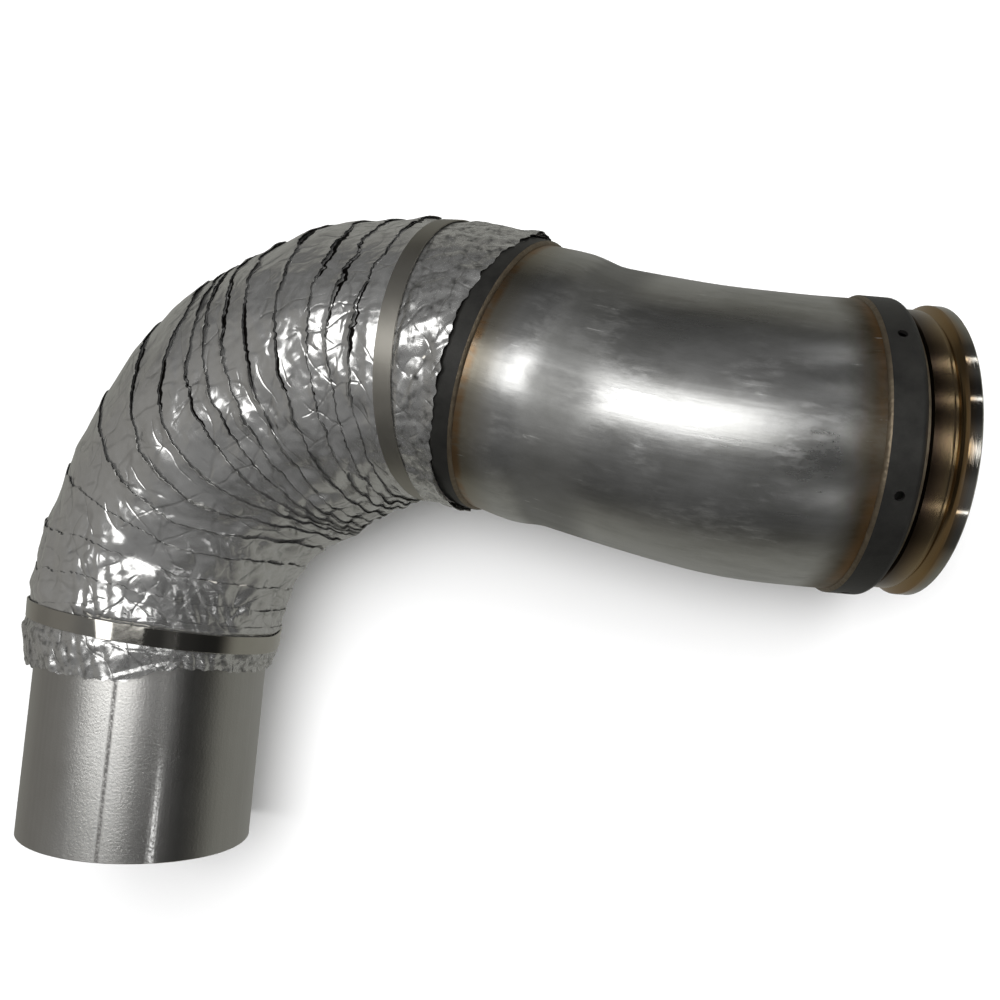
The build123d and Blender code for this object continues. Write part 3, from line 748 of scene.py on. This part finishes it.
def foil_end(name, fixed, ragged, fixed_radius, ragged_radius, columns, rows, depth, hang=np.zeros_like):
    """Closed sleeve from a fixed station to a ragged one, which hangs lower by an amount that varies around
    it. Its radius eases between its two ends, with creases that deepen towards the ragged edge."""
    angle = full_turn(columns)
    share = np.concatenate([np.linspace(0, 1, rows), np.linspace(1, 0, 4)])[:, None]
    gauge = np.concatenate([np.zeros(rows), np.full(4, FOIL_GAUGE)])[:, None]
    burrs = np.abs(np.sin(13 * angle + np.sin(4 * angle)))
    wander = np.sin(2 * angle + 1.0) + 0.7 * np.sin(5 * angle) + 0.6 * burrs
    wander = wander + 0.5 * np.sin(31 * angle + 2 * np.sin(9 * angle)) + 0.3 * np.sin(77 * angle)
    edge = ragged + hang(angle) + depth * (wander - 0.4) * np.sign(fixed - ragged)
    station = fixed + (edge - fixed) * share
    lie = fixed_radius + (ragged_radius - fixed_radius) * ease(share)
    unrolled = np.stack(np.broadcast_arrays(station, 0.07 * np.cos(angle), 0.07 * np.sin(angle)), -1)
    loose = 0.0010 * share * creases(unrolled, 0.0045, 6, 21)
    radius = lie + crumple(station, angle + 0 * station) + loose - gauge
    return around(name, station, angle + 0 * station, radius, smooth=radians(50))


foil_pieces.append(foil_end(
    "foil_cuff", UPPER_STRAP - 0.002, FOIL_START, NECK_RADIUS - 0.0002, 0.0726, 520, 56, 0.0011))


def skirt_hang(angle):
    """The skirt hangs lowest over the front, where a loose flap of foil is left."""
    flap = ease((radians(52) - apart(angle, radians(216))) / radians(26))
    return 0.0016 + 0.0072 * flap


foil_pieces.append(foil_end(
    "foil_skirt", lower_line(full_turn(520)) + 0.002, FOIL_END, TAIL_RADIUS - 0.0002, 0.0676, 520, 44, 0.0010,
    skirt_hang))

FINE_CREASES = (
    ((0.80, 0.50, 0.33), 0.0062, 41.0), ((-0.40, 0.85, 0.35), 0.0083, 47.0),
    ((0.25, -0.50, 0.83), 0.0071, 53.0), ((0.90, -0.35, 0.25), 0.0104, 37.0),
    ((0.10, 0.75, -0.65), 0.0093, 58.0), ((-0.70, -0.10, 0.70), 0.0120, 32.0))

foil = Finish("crumpled_foil")
place = foil.place()
wander = foil.noise(place, 30.0, 2.0, 0.5)
quiet = foil.noise(place, 34.0, 3.0, 0.6).band(0.40, 0.60)
crossed = quiet * 0.0
crease_shade_lines = quiet * 0.0
for way, pitch, scale in FINE_CREASES:
    wave = (foil.toward(place, way) * (1 / pitch) + 3.0 * wander).math("PINGPONG", 1.0)
    patch = foil.noise(place, scale, 1.0).band(0.49, 0.58)
    crossed = crossed + wave * (0.35 + 0.65 * patch) * (pitch * 40)
    crease_shade_lines = crease_shade_lines + wave.band(0.13, 0.0) * patch
shadow = foil.node("Attribute", {"attribute_name": "shadow"}, out="Fac")
jitter = foil.noise(place, 260.0, 3.0, 0.6)
# Painted shadow: near-black, duller and rougher colour along each turn's covered edge, widening over the
# patches where turns gape.
seam_and_painted_shadow = (shadow + 0.0008 * (jitter - 0.4)).band(0.0, 0.0004)
shine = foil.mix(jitter, (0.60, 0.598, 0.585), (0.72, 0.717, 0.705))
# Painted shade: the foil's colour darkens along its crease lines, which the bump also cuts in as grooves.
shine = foil.mix(crease_shade_lines * 0.22, shine, (0.20, 0.195, 0.185))
foil.feed("Base Color", foil.mix(seam_and_painted_shadow, shine, (0.012, 0.011, 0.010)))
foil.feed("Metallic", 0.92 + 0.07 * seam_and_painted_shadow)
foil.feed("Roughness", 0.17 + 0.12 * jitter + 0.4 * seam_and_painted_shadow)
height = crossed * (0.35 + 0.65 * quiet) - crease_shade_lines * 0.16
foil.feed("Normal", foil.bump(height, 0.0016, 0.55))
for piece in foil_pieces:
    piece.data.materials.append(foil.material)
    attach(piece, "root")
    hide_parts("foil_wrap")

# Strap bands: two thin steel bands pulled tight round the foil and crimped in a seal on the far side.
# The upper one is dull and browned, the lower one mirror bright.
STRAP_WIDTH = 0.0095
STRAP_THICKNESS = 0.0007
KINK_ANGLE = radians(197)


def strap(name, node, middle, inside, wobble, cone=0.0, line=None):
    """Band of a rounded thin section on the seat at its station, with a slight wander in its height. It lies
    on a cone that narrows towards the outlet, but for one short kink where it stands square."""
    angle = full_turn(360)
    low, high = middle - STRAP_WIDTH / 2, middle + STRAP_WIDTH / 2
    top = inside + STRAP_THICKNESS
    station, radius = outline([
        (low, inside), (low, top - 0.0002), (low + 0.0002, top), (high - 0.0002, top),
        (high, top - 0.0002), (high, inside)], 0.0012)
    bulge = wobble * (np.sin(3 * angle + 1) * np.sin(2 * angle) + 0.5 * np.sin(9 * angle))
    square = np.exp(-((apart(angle, KINK_ANGLE) / radians(3.6)) ** 4))
    slope = cone * (1 - square) * (middle - station)
    moved = station if line is None else station - middle + line(angle)
    made = around(name, moved, angle, radius + bulge + slope, seat=middle, smooth=radians(40))
    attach(made, "root")
    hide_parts(node)
    return made


upper_strap = strap("dull_strap", "upper_strap", UPPER_STRAP, NECK_RADIUS + 0.0003, 0.00008)
dull = Finish("dull_strap_steel", Metallic=1.0)
lay = dull.lay()
blotch = dull.noise(lay, 70.0, 4.0, 0.6)
rolled = dull.noise(dull.stretch(lay, 900.0, 20.0, 20.0), 1.0, 2.0, 0.5)
dull.feed("Base Color", dull.mix(blotch, (0.36, 0.345, 0.305), (0.48, 0.46, 0.415)))
dull.feed("Roughness", 0.34 + 0.14 * blotch)
dull.feed("Normal", dull.bump(rolled, 0.00004, 0.3))
upper_strap.data.materials.append(dull.material)

lower_strap = strap(
    "bright_strap", "lower_strap", LOWER_STRAP, TAIL_RADIUS + 0.0003, 0.00006, 0.045, lower_line)
bright = Finish("bright_strap_steel", Metallic=1.0)
lay = bright.lay()
blotch = bright.noise(lay, 60.0, 3.0, 0.6)
bright.feed("Base Color", bright.mix(blotch, (0.52, 0.50, 0.45), (0.64, 0.62, 0.57)))
bright.feed("Roughness", 0.04 + 0.07 * blotch)
bright.feed("Normal", bright.bump(blotch, 0.0002, 0.2))
lower_strap.data.materials.append(bright.material)

# Seals: small sheet-steel clips crimped over each strap's lapped ends. They sit on the far side, so the
# photo doesn't show them.
for node, finish in (("upper_strap_seal", dull), ("lower_strap_seal", dull)):
    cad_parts[node].data.materials.clear()
    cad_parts[node].data.materials.append(finish.material)
